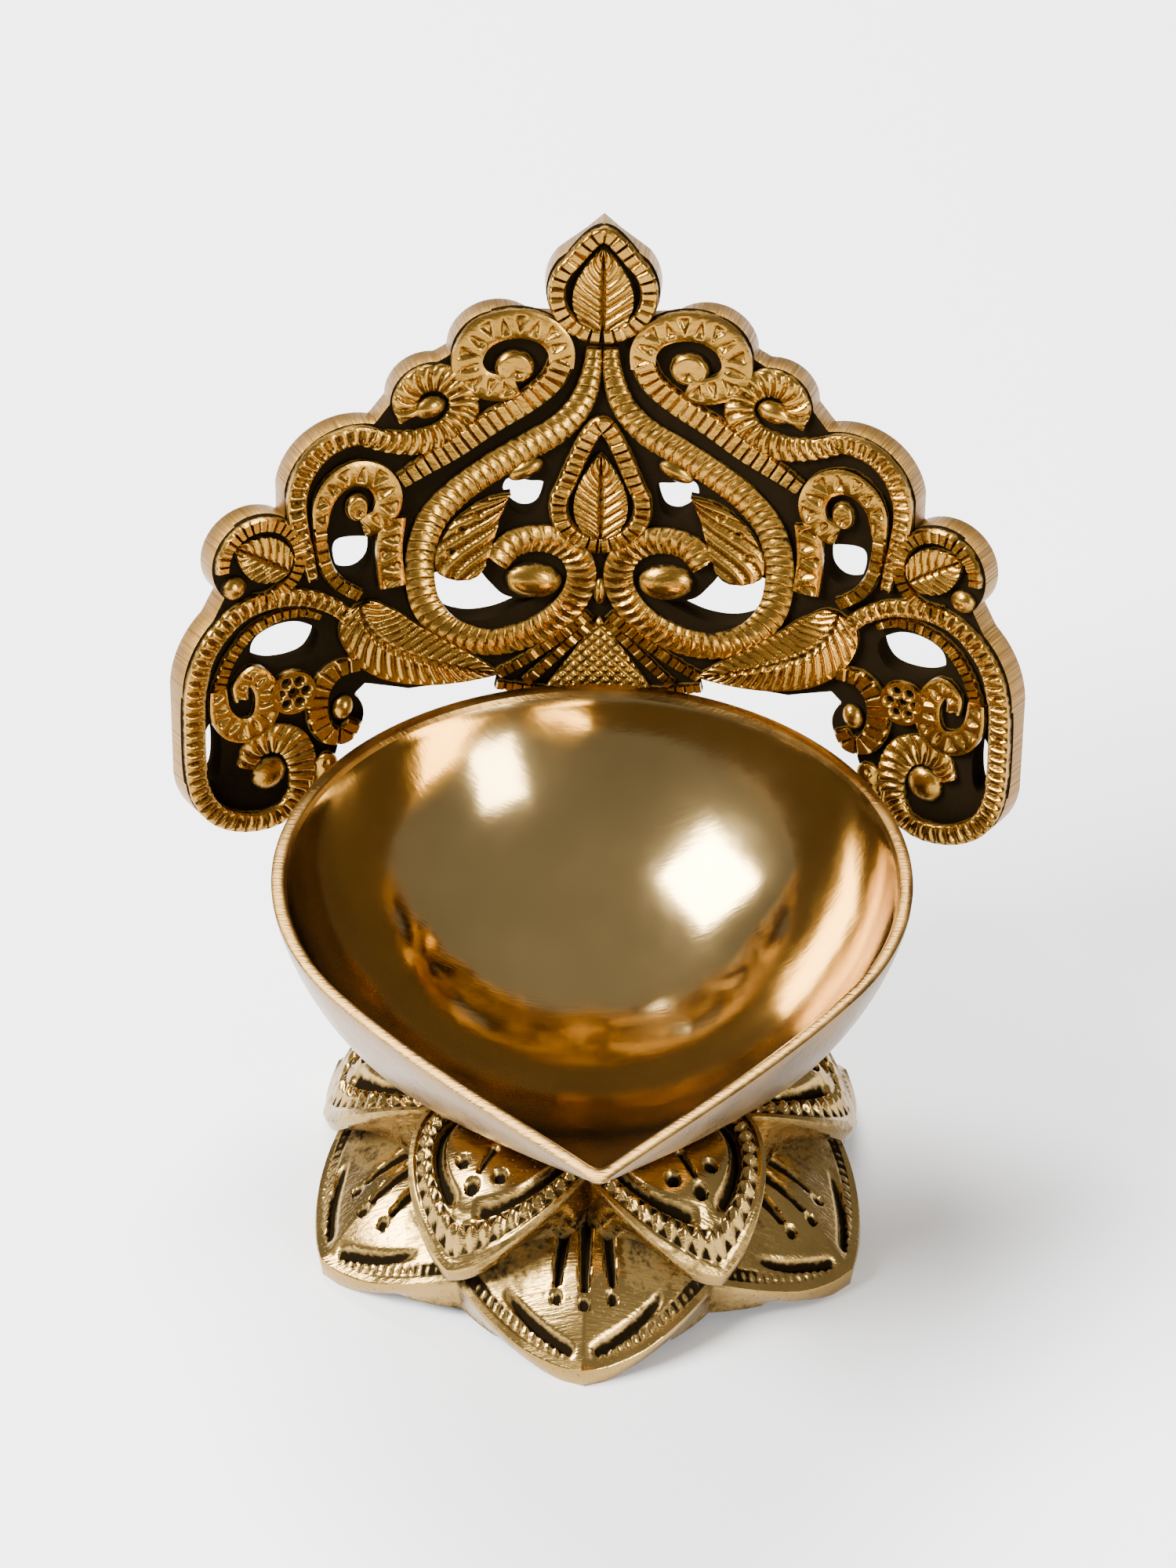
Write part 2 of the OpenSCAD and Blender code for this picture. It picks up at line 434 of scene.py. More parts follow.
class NodeGraph:
    """Small helper that places and joins shader nodes."""

    def __init__(self, tree):
        self.tree = tree
        self.column = 0

    def add(self, kind, inputs=None, **settings):
        node = self.tree.nodes.new(kind)
        self.column += 1
        node.location = (self.column * 180, -(self.column % 4) * 160)
        for key, value in settings.items():
            setattr(node, key, value)
        for key, value in (inputs or {}).items():
            self.feed(node.inputs[key], value)
        return node

    def feed(self, socket, value):
        if isinstance(value, bpy.types.NodeSocket):
            self.tree.links.new(value, socket)
        else:
            socket.default_value = value

    def math(self, operation, a, b, clamp=False):
        node = self.add("ShaderNodeMath", {0: a, 1: b}, operation=operation, use_clamp=clamp)
        return node.outputs[0]

    def place(self):
        """Where on the piece a point lies."""
        return self.add("ShaderNodeTexCoord").outputs["Object"]

    def noise(self, vector, scale, detail=3.0, roughness=0.55):
        node = self.add("ShaderNodeTexNoise", {
            "Vector": vector, "Scale": scale, "Detail": detail, "Roughness": roughness})
        return node.outputs["Fac"]

    def span(self, value, low, high, to_low=0.0, to_high=1.0):
        node = self.add("ShaderNodeMapRange", {
            "Value": value, "From Min": low, "From Max": high,
            "To Min": to_low, "To Max": to_high})
        return node.outputs["Result"]

    def mix(self, share, a, b):
        node = self.add("ShaderNodeMix", data_type="RGBA")
        self.feed(node.inputs[0], share)
        self.feed(node.inputs[6], a)
        self.feed(node.inputs[7], b)
        return node.outputs[2]


def shade(colour, amount):
    """The same colour made darker or lighter."""
    return (*[clamp01(c * amount) for c in colour], 1.0)


def two_tone(g, tone, colour, dark, light):
    """A colour that drifts between a darker and a lighter shade of itself."""
    return g.mix(g.span(tone, 0.3, 0.7), shade(colour, dark), shade(colour, light))


def group_tree(name, inputs, outputs):
    """A new shader group with its graph, or the one that is already built, without a graph."""
    if name in bpy.data.node_groups:
        return bpy.data.node_groups[name], None, None, None
    tree = bpy.data.node_groups.new(name, "ShaderNodeTree")
    for label, default in inputs:
        socket = tree.interface.new_socket(label, in_out="INPUT", socket_type="NodeSocketFloat")
        socket.default_value = default
    for label in outputs:
        tree.interface.new_socket(label, in_out="OUTPUT", socket_type="NodeSocketFloat")
    graph = NodeGraph(tree)
    source = tree.nodes.new("NodeGroupInput")
    sink = tree.nodes.new("NodeGroupOutput")
    return tree, graph, source, sink


def recess_patina():
    """Black patina that settles below a cleaned height, with a grainy edge and stray specks."""
    tree, g, source, sink = group_tree(
        "Recess patina",
        [("Clean height", 0.5), ("Spread", 0.25), ("Grain", 900.0), ("Specks", 0.3)],
        ["Mask"])
    if g is None:
        return tree
    coords = g.place()
    lift = g.add("ShaderNodeAttribute", attribute_name="lift").outputs["Fac"]
    grain = g.noise(coords, source.outputs["Grain"], 4.0, 0.65)
    patches = g.noise(coords, 160.0, 2.0)
    ragged = g.math("ADD", g.span(grain, 0.3, 0.7, -0.16, 0.16), g.span(patches, 0.3, 0.7, -0.12, 0.12))
    height = g.math("ADD", lift, ragged)
    low = g.math("SUBTRACT", source.outputs["Clean height"], source.outputs["Spread"])
    high = g.math("ADD", source.outputs["Clean height"], source.outputs["Spread"])
    node = g.add("ShaderNodeMapRange", {"Value": height, "From Min": low, "From Max": high,
                                        "To Min": 1.0, "To Max": 0.0}, interpolation_type="SMOOTHSTEP")
    specks = g.noise(coords, 2300.0, 1.0)
    stray = g.math("MULTIPLY", g.span(specks, 0.66, 0.74), source.outputs["Specks"])
    g.feed(sink.inputs["Mask"], g.math("MAXIMUM", node.outputs["Result"], stray, True))
    return tree


def hand_polish():
    """Uneven polish: soft cloudy tone, hairline scratches and tiny casting pits."""
    tree, g, source, sink = group_tree(
        "Hand polish",
        [("Cloud", 45.0), ("Scratches", 0.5), ("Pits", 0.3)],
        ["Tone", "Height"])
    if g is None:
        return tree
    coords = g.place()
    tone = g.noise(coords, source.outputs["Cloud"], 3.0, 0.6)
    hair = g.add("ShaderNodeMapping", {"Vector": coords, "Scale": (260.0, 2600.0, 700.0),
                                       "Rotation": (0.3, 0.5, 0.7)}).outputs[0]
    scratch = g.span(g.noise(hair, 1.0, 2.0, 0.7), 0.35, 0.65)
    pits = g.add("ShaderNodeTexVoronoi", {"Vector": coords, "Scale": 420.0}).outputs["Distance"]
    hollow = g.span(pits, 0.0, 0.16)
    height = g.math("ADD", g.math("MULTIPLY", scratch, source.outputs["Scratches"]),
                    g.math("MULTIPLY", hollow, source.outputs["Pits"]))
    g.feed(sink.inputs["Tone"], tone)
    g.feed(sink.inputs["Height"], height)
    return tree


def use_group(g, tree, values):
    node = g.add("ShaderNodeGroup", node_tree=tree)
    for label, value in values.items():
        g.feed(node.inputs[label], value)
    return node


def start_material(name):
    """An empty metal material, its graph and its shader."""
    material = bpy.data.materials.new(name)
    material.use_nodes = True
    material.node_tree.nodes.clear()
    g = NodeGraph(material.node_tree)
    shader = g.add("ShaderNodeBsdfPrincipled")
    output = g.add("ShaderNodeOutputMaterial")
    material.node_tree.links.new(shader.outputs[0], output.inputs[0])
    shader.inputs["Metallic"].default_value = 1.0
    return material, g, shader


def bump(g, shader, height, strength, distance):
    node = g.add("ShaderNodeBump", {"Height": height, "Strength": strength, "Distance": distance})
    g.feed(shader.inputs["Normal"], node.outputs[0])


def polished_brass():
    """Inside the bowl: mirror brass, gently uneven, slightly clouded and finely scratched."""
    colour = finish_colours().polished
    material, g, shader = start_material("Polished brass")
    polish = use_group(g, hand_polish(), {"Cloud": 38.0, "Scratches": 0.35, "Pits": 0.15})
    tone = polish.outputs["Tone"]
    g.feed(shader.inputs["Base Color"], two_tone(g, tone, colour, 0.86, 1.1))
    g.feed(shader.inputs["Roughness"], g.span(tone, 0.3, 0.7, 0.08, 0.16))
    coords = g.place()
    swell = g.noise(coords, 70.0, 1.0)
    ripple = g.math("MULTIPLY", g.noise(coords, 260.0, 1.0), 0.16)
    marks = g.math("MULTIPLY", polish.outputs["Height"], 0.04)
    bump(g, shader, g.math("ADD", g.math("ADD", swell, ripple), marks), 1.0, 0.00016)
    return material


def relief_brass(name, colour, clean, spread, rough, specks):
    """Cast relief: bright tops over near-black recesses, which start below the clean height."""
    material, g, shader = start_material(name)
    polish = use_group(g, hand_polish(), {"Cloud": 120.0, "Scratches": 0.5, "Pits": 0.6})
    dark = use_group(g, recess_patina(), {
        "Clean height": clean, "Spread": spread, "Grain": 1100.0, "Specks": specks}).outputs["Mask"]
    metal = two_tone(g, polish.outputs["Tone"], colour, 0.8, 1.15)
    g.feed(shader.inputs["Base Color"], g.mix(dark, metal, shade(finish_colours().patina, 1.0)))
    g.feed(shader.inputs["Roughness"], g.span(dark, 0.0, 1.0, rough, 0.6))
    g.feed(shader.inputs["Metallic"], g.span(dark, 0.2, 1.0, 1.0, 0.0))
    shader.inputs["Specular IOR Level"].default_value = 0.0
    bump(g, shader, polish.outputs["Height"], 0.3, 0.00015)
    return material


def filed_brass():
    """The plate's edge: file strokes that run from its front to its rear."""
    colour = finish_colours().filed
    material, g, shader = start_material("Filed brass")
    run = g.add("ShaderNodeAttribute", attribute_name="run").outputs["Fac"]
    coords = g.place()
    stroke = g.add("ShaderNodeTexNoise", {"W": g.math("MULTIPLY", run, 2.4), "Scale": 1.0,
                                          "Detail": 4.0, "Roughness": 0.75},
                   noise_dimensions="1D").outputs["Fac"]
    cloud = g.noise(coords, 90.0, 3.0)
    streak = g.span(stroke, 0.3, 0.7)
    metal = g.mix(streak, shade(colour, 0.4), shade(colour, 1.2))
    stain = g.math("MULTIPLY", g.span(cloud, 0.52, 0.72), 0.45)
    g.feed(shader.inputs["Base Color"], g.mix(stain, metal, shade(colour, 0.35)))
    g.feed(shader.inputs["Roughness"], g.span(streak, 0.0, 1.0, 0.45, 0.26))
    bump(g, shader, stroke, 0.8, 0.0003)
    return material


def satin_metal(name, colour, rough):
    """Brushed or rolled metal, for the bowl's outside, the plate's rear and the clamp."""
    material, g, shader = start_material(name)
    polish = use_group(g, hand_polish(), {"Cloud": 150.0, "Scratches": 0.8, "Pits": 0.2})
    tone = polish.outputs["Tone"]
    g.feed(shader.inputs["Base Color"], two_tone(g, tone, colour, 0.75, 1.15))
    g.feed(shader.inputs["Roughness"], g.span(tone, 0.3, 0.7, rough - 0.07, rough + 0.07))
    bump(g, shader, polish.outputs["Height"], 0.3, 0.0001)
    return material


# ------------ bowl

RIM_SHOULDER = -1
RIM_TOP = -2


def bowl_reach(angle, depth, radius, full_depth, tip):
    """How far the bowl's form reaches from its axis, towards angle from the spout, at a depth.

    The bowl is the cap of a ball, swept to the spout's point by caps that shrink on the way."""
    best = 0.0
    discs = 48
    ball = (radius * radius + full_depth * full_depth) / (2 * full_depth)
    for i in range(1, discs + 1):
        share = i / discs
        if share * full_depth < depth:
            continue
        swell = 1 + 0.03 * share * (1 - share) * 4 * (1 - depth / full_depth)
        level = depth / share + ball - full_depth
        disc = share * swell * math.sqrt(max(0.0, ball * ball - level * level))
        centre = (1 - share) * tip
        inside = disc * disc - (centre * math.sin(angle)) ** 2
        if inside < 0:
            continue
        best = max(best, centre * math.cos(angle) + math.sqrt(inside))
    return best


def make_bowl_mesh():
    """The bowl as one closed skin: up its outside, over its rim and down its inside."""
    s = sizes()
    radius, depth, reach = mm(s.bowl_radius), mm(s.bowl_depth), mm(s.spout_reach)
    wall, rim_z = mm(s.bowl_wall), mm(s.rim_height)
    edge = 0.45
    shoulder = edge * 0.3
    # Each row is a share of the wall from its outside, and either a slope on the ball in degrees
    # or, around the rim, the row's name.
    outside = [(0.0, 90 - 88.5 * i / 30) for i in range(31)]
    inside = [(1.0, 1.5 + 88.5 * i / 34) for i in range(35)]
    rim = [(shoulder / wall, RIM_SHOULDER), (edge / wall, RIM_TOP),
           (1 - edge / wall, RIM_TOP), (1 - shoulder / wall, RIM_SHOULDER)]
    profile = outside + rim + inside
    rows = len(profile) - 1
    spokes = 200

    def form(column, row):
        u = 2 * column - 1
        angle = math.pi * (0.3 * u + 0.7 * u * abs(u))
        share, slope = profile[round(row * rows)]
        inset = wall * share
        if slope < 0:
            down = 0.0 if slope == RIM_TOP else shoulder
            level = 0.0
        else:
            level = math.sin(math.radians(slope))
            down = (depth - inset) * level
        out = 0.0 if level >= 1 else bowl_reach(
            angle, (depth - inset) * level, radius - inset, depth - inset, reach - inset * 1.5)
        heading = angle + s.bowl_turn
        place = Vector((out * math.sin(heading), axis_y() - out * math.cos(heading), rim_z - down))
        return place, 1.0 if share > 0.99 else 0.0

    bm = new_mesh()
    formed_grid(bm, spokes, rows, form)
    bmesh.ops.remove_doubles(bm, verts=bm.verts[:], dist=1e-3)
    lift = bm.verts.layers.float["lift"]
    for f in bm.faces:
        f.material_index = 1 if any(v[lift] < 0.5 for v in f.verts) else 0
    return bm


# ------------ lotus base


def petal_edge(angle, tip, notch, swell):
    """Reach of a petal star's edge at an angle in degrees, and its arc's centre and radius.

    Tips are at 0 and notches half way. Each side of a petal is a circular arc of the given
    swell between tip and notch."""
    local = abs((angle + PETAL_ANGLE / 2) % PETAL_ANGLE - PETAL_ANGLE / 2)
    half = math.radians(PETAL_ANGLE / 2)
    a = Vector((0, tip))
    b = Vector((notch * math.sin(half), notch * math.cos(half)))
    chord = b - a
    radius = chord.length ** 2 / (8 * swell) + swell / 2
    outward = Vector((-chord.y, chord.x)).normalized()
    centre = (a + b) / 2 - outward * (radius - swell)
    ray = Vector((math.sin(math.radians(local)), math.cos(math.radians(local))))
    along = ray.dot(centre)
    reach = along + math.sqrt(max(0.0, along * along - centre.length_squared + radius * radius))
    return reach, centre, radius


def petal_frame(angle, reach, tip, notch, swell):
    """Place within one petal: sideways, out from the axis, in from the edge, along the edge."""
    local = (angle + PETAL_ANGLE / 2) % PETAL_ANGLE - PETAL_ANGLE / 2
    x = reach * math.sin(math.radians(local))
    y = reach * math.cos(math.radians(local))
    _, centre, radius = petal_edge(angle, tip, notch, swell)
    mirrored = Vector((abs(x), y))
    inward = radius - (mirrored - centre).length
    from_tip = Vector((0, tip)) - centre
    here = mirrored - centre
    along = radius * from_tip.angle(here, 0.0)
    return x, y, inward, along


def line_height(points, x):
    """Height at x on straight stretches between points."""
    for (x0, y0), (x1, y1) in zip(points, points[1:]):
        if x <= x1:
            t = clamp01((x - x0) / (x1 - x0))
            return y0 + (y1 - y0) * t
    return points[-1][1]


# Each tier's outside as (radius, height), from its top out to its tips.
LOWER_SLOPE = [(16.0, 15.0), (20.0, 14.2), (24.0, 12.6), (28.0, 10.3), (31.0, 8.0),
               (34.0, 5.2), (36.0, 3.0), (38.0, 0.6)]
UPPER_DOME = [(17.0, 19.6), (21.0, 20.8), (24.5, 20.8), (27.5, 19.6), (30.0, 17.2),
              (32.0, 13.9), (33.0, 11.2), (33.8, 8.8)]


def smooth_line(points, x):
    """Height at x on the same line with its corners softened."""
    soft = 1.2
    return sum(line_height(points, x + d * soft) for d in (-1, -0.5, 0, 0.5, 1)) / 5


def punched(x, y, at, radius):
    """A round punched dot, 1 over most of its floor."""
    return clamp01((1 - math.hypot(x - at[0], y - at[1]) / radius) * 2.4)


def slot_cut(x, y, start, end, width):
    """A tapering chisel cut from start, where it is widest, to end."""
    a, b = Vector(start), Vector(end)
    way = b - a
    t = clamp01((Vector((x, y)) - a).dot(way) / way.length_squared)
    gap = (Vector((x, y)) - (a + way * t)).length
    return hump(gap, width * (1 - 0.45 * t))


def lower_petal_relief(x, y, inward, along):
    """Height and cleanness of a lower petal's chasing."""
    keel = 1.5 * clamp01(1 - abs(x) / 7.5) ** 1.2 * clamp01((y - 21) / 8)
    fade = clamp01((along - 1.2) / 1.5)
    beaded = clamp01((inward - 0.8) * 5) * clamp01((2.2 - inward) * 4) * fade
    bead = hump(frac(along / 1.15) - 0.5, 0.5) * hump(inward - 1.5, 0.85)
    slit = hump(inward - 1.5 - 0.13 * along, 0.8)
    groove = slit * clamp01((along - 1.4) / 1.5) * clamp01((13.5 - along) / 3)
    cuts = slot_cut(x, y, (0, 21.5), (0, 30.4), 1.35)
    cuts = max(cuts, slot_cut(abs(x), y, (2.3, 21.5), (3.3, 29.4), 1.25))
    dots = max(punched(x, y, (0, 32.0), 0.8), punched(abs(x), y, (3.4, 31.0), 0.75))
    lip = 0.3 * clamp01(1 - inward / 1.1)
    height = keel + lip + beaded * (0.34 * bead - 0.2)
    height -= 1.1 * groove + 1.3 * cuts + 0.8 * dots
    clean = 1 - 1.3 * groove - 1.4 * cuts - 1.0 * dots - 0.75 * beaded * (1 - bead)
    clean -= 0.62 * clamp01((abs(x) - 2.5) / 3) * clamp01((31.5 - y) / 3.5)
    return height, clamp01(clean)


def upper_petal_relief(x, y, inward, along):
    """Height and cleanness of an upper petal's chasing."""
    rim = clamp01((0.9 - inward) * 3)
    border = clamp01((inward - 0.9) * 6) * clamp01((3.0 - inward) * 6)
    facet = 1 - abs(2 * frac(along / 1.95) - 1)
    across = 1 - abs(2 * (inward - 0.9) / 2.1 - 1)
    diamond = clamp01(1.15 * (facet + across) - 0.85)
    groove = hump(inward - 3.8, 1.0) * clamp01((along - 2.4) / 2)
    dots = max(punched(x, y, (0, 27.6), 1.0), punched(abs(x), y, (2.6, 25.4), 1.0))
    cut = slot_cut(x, y, (0, 22.4), (0, 26.0), 0.8)
    dome = 1.3 * clamp01((inward - 3.8) / 6) ** 0.6
    height = 0.3 * rim + border * (0.95 * diamond - 0.15) + dome
    height -= 1.3 * groove + 1.0 * dots + 0.9 * cut
    clean = 1 - 1.1 * groove - 1.0 * dots - cut - 0.85 * border * (1 - clamp01(diamond * 2.6))
    clean -= 0.45 * rim * clamp01((along - 1.0) / 2)
    return height, clamp01(clean)


def petal_tier(tip, notch, swell, slope, relief, inner, under, twist):
    """One tier of six petals as a closed shell: chased outside, lip, and an underside.

    slope gives the outside's height at a radius, inner is where the tier begins at the top and
    under lists the underside as (radius, height) from the lip inwards."""
    lip = 1.5
    spokes = 792
    rows_out = 76
    rows = rows_out + 2 + len(under)

    def form(column, row):
        angle = 360 * column
        edge, _, _ = petal_edge(angle, tip, notch, swell)
        i = round(row * rows)
        clean = 0.35
        if i <= rows_out:
            share = i / rows_out
            share = 1 - (1 - share) ** 1.25
            reach = inner + (edge - inner) * share
            rise, clean = relief(*petal_frame(angle, reach, tip, notch, swell))
            z = smooth_line(slope, reach) + rise * clamp01((share - 0.02) * 12)
            if i == rows_out:
                z -= 0.25
        elif i <= rows_out + 2:
            drop = lip * (i - rows_out) / 2
            reach = edge - 0.25 * (i - rows_out)
            z = smooth_line(slope, edge) - drop
            clean = 0.8
        elif i == rows:
            reach = inner
            z = smooth_line(slope, inner)
            _, clean = relief(*petal_frame(angle, reach, tip, notch, swell))
        else:
            reach, z = under[i - rows_out - 3]
            reach = min(reach, edge - 1.2)
        heading = math.radians(angle + twist)
        z = max(z, 0.0)
        return Vector((reach * math.sin(heading), axis_y() - reach * math.cos(heading), z)), clean

    bm = new_mesh()
    formed_grid(bm, spokes, rows, form)
    bmesh.ops.remove_doubles(bm, verts=bm.verts[:], dist=1e-4)
    return bm


# ------------ back plate


def plate_edge():
    """Right half of the plate's outline, from its crown's tip down to its foot."""
    return [
        [(0, 62.8), (2.0, 60.9)],
        arc((0, 53.9), 6.9, 38, -36, 9),
        arc((12.6, 45.6), 5.9, 130, 2, 14),
        arc((20.8, 39.8), 5.2, 98, 0, 12),
        arc((30.5, 28.5), 9.2, 106, 10, 16),
        arc((43.2, 21.2), 6.2, 126, -42, 20),
        arc((41.4, 4.5), 12.6, 50, 4, 10),
        arc((43.8, -6.8), 10.2, -6, -116, 14),
        [(36.9, -14.6), (34.7, -11.6), (33.4, -8.0)],
        arc((33.6, -3.2), 3.8, -96, -228, 10),
        [(29.6, 1.0), (24.0, -0.6), (18.0, -0.4), (12.5, 0.4), (8.0, -2.2)],
    ]


def plate_windows():
    """The holes through the plate's right half, as closed smooth lines."""
    return [
        [(6.9, 27.4), (8.8, 27.9), (11.4, 28.3), (12.1, 26.6), (11.2, 24.3), (9.4, 23.0), (7.6, 23.8)],
        [(7.4, 11.6), (10.4, 9.8), (13.4, 8.6), (16.8, 8.5), (19.8, 10.0), (21.2, 13.0), (20.8, 15.6),
         (18.4, 15.4), (15.8, 16.3), (13.9, 14.0), (12.0, 11.9), (9.6, 11.2)],
        [(28.6, 21.4), (28.4, 18.2), (30.0, 16.5), (32.2, 16.9), (33.4, 19.6), (33.2, 21.9), (31.0, 22.2)],
        [(35.4, 9.3), (36.4, 6.4), (38.8, 5.5), (42.0, 5.9), (44.4, 7.9), (44.0, 10.3), (41.2, 11.6),
         (38.0, 11.4)],
        [(49.4, 0.4), (51.2, -1.6), (51.5, -5.0), (50.6, -8.2), (49.2, -7.4), (48.8, -3.6)],
    ]


def outline_loop(bm, line, start_run):
    """A closed ring of edges along a line, which keeps its run for the file strokes."""
    run = bm.verts.layers.float["run"]
    verts = [bm.verts.new(p) for p in line]
    length = start_run
    for v, before in zip(verts, [verts[-1]] + verts[:-1]):
        length += (v.co - before.co).length
        v[run] = length
    return [bm.edges.new((v, verts[(i + 1) % len(verts)])) for i, v in enumerate(verts)]


def plate_body_mesh():
    """The plate's body: outline and windows cut out flat, given its thickness, then eased."""
    bm = new_mesh()
    half = [Vector(p).to_3d() for stretch in plate_edge() for p in stretch]
    left = [Vector((-p.x, p.y, 0)) for p in reversed(half[1:])]
    ring = even_steps(half + left + [half[0]], 0.45)[:-1]
    edges = outline_loop(bm, ring, 0.0)
    for k, window in enumerate(plate_windows()):
        for side in (1, -1):
            line = spline([(x * side, y) for x, y in window], 0.4, closed=True)[:-1]
            edges += outline_loop(bm, line, WINDOW_RUN + WINDOW_STEP * k)
    bmesh.ops.triangle_fill(bm, use_beauty=True, use_dissolve=False, edges=edges)
    thickness = mm(sizes().plate_thickness)
    made = bmesh.ops.extrude_face_region(bm, geom=bm.faces[:], use_keep_orig=True)["geom"]
    rear = [v for v in made if isinstance(v, bmesh.types.BMVert)]
    bmesh.ops.translate(bm, vec=(0, 0, RELIEF - thickness), verts=rear)
    bmesh.ops.recalc_face_normals(bm, faces=bm.faces[:])
    sharp, ease = 1.2, 0.28
    corners = [e for e in bm.edges if e.is_manifold and e.calc_face_angle(0) > sharp
               and abs(e.verts[0].co.z - e.verts[1].co.z) < 0.01]
    bmesh.ops.bevel(bm, geom=corners, offset=ease, offset_type="OFFSET", segments=2, profile=0.5,
                    affect="EDGES", material=-1, clamp_overlap=True)
    for i in range(-STRIPS, STRIPS + 1):
        whole = bm.verts[:] + bm.edges[:] + bm.faces[:]
        bmesh.ops.bisect_plane(bm, geom=whole, dist=1e-4, plane_no=(1, 0, 0),
                               plane_co=(i * STRIP_WIDTH, 0, 0))
    run = bm.verts.layers.float["run"]
    for f in bm.faces:
        if f.normal.z < -0.9:
            f.material_index = 2
        elif f.normal.z < 0.9 and not all(v[run] >= WINDOW_RUN for v in f.verts):
            f.material_index = 1
    return bm


# ------------ scrollwork


def taper(start, middle, end, peak=0.5):
    """Half width along a band: start, middle at peak, end."""
    def width(t):
        if t < peak:
            return start + (middle - start) * math.sin(math.pi / 2 * t / peak)
        return middle + (end - middle) * (1 - math.cos(math.pi / 2 * (t - peak) / (1 - peak)))
    return width


def leaf_width(widest, at=0.4, foot=0.35):
    """Half width of a leaf: from a rounded foot out to widest and on to a point."""
    def width(t):
        if t < at:
            return widest * max(0.02, math.sin(math.pi / 2 * (t / at)) ** foot)
        return widest * max(0.02, max(0.0, math.cos(math.pi / 2 * (t - at) / (1 - at))) ** 0.9)
    return width


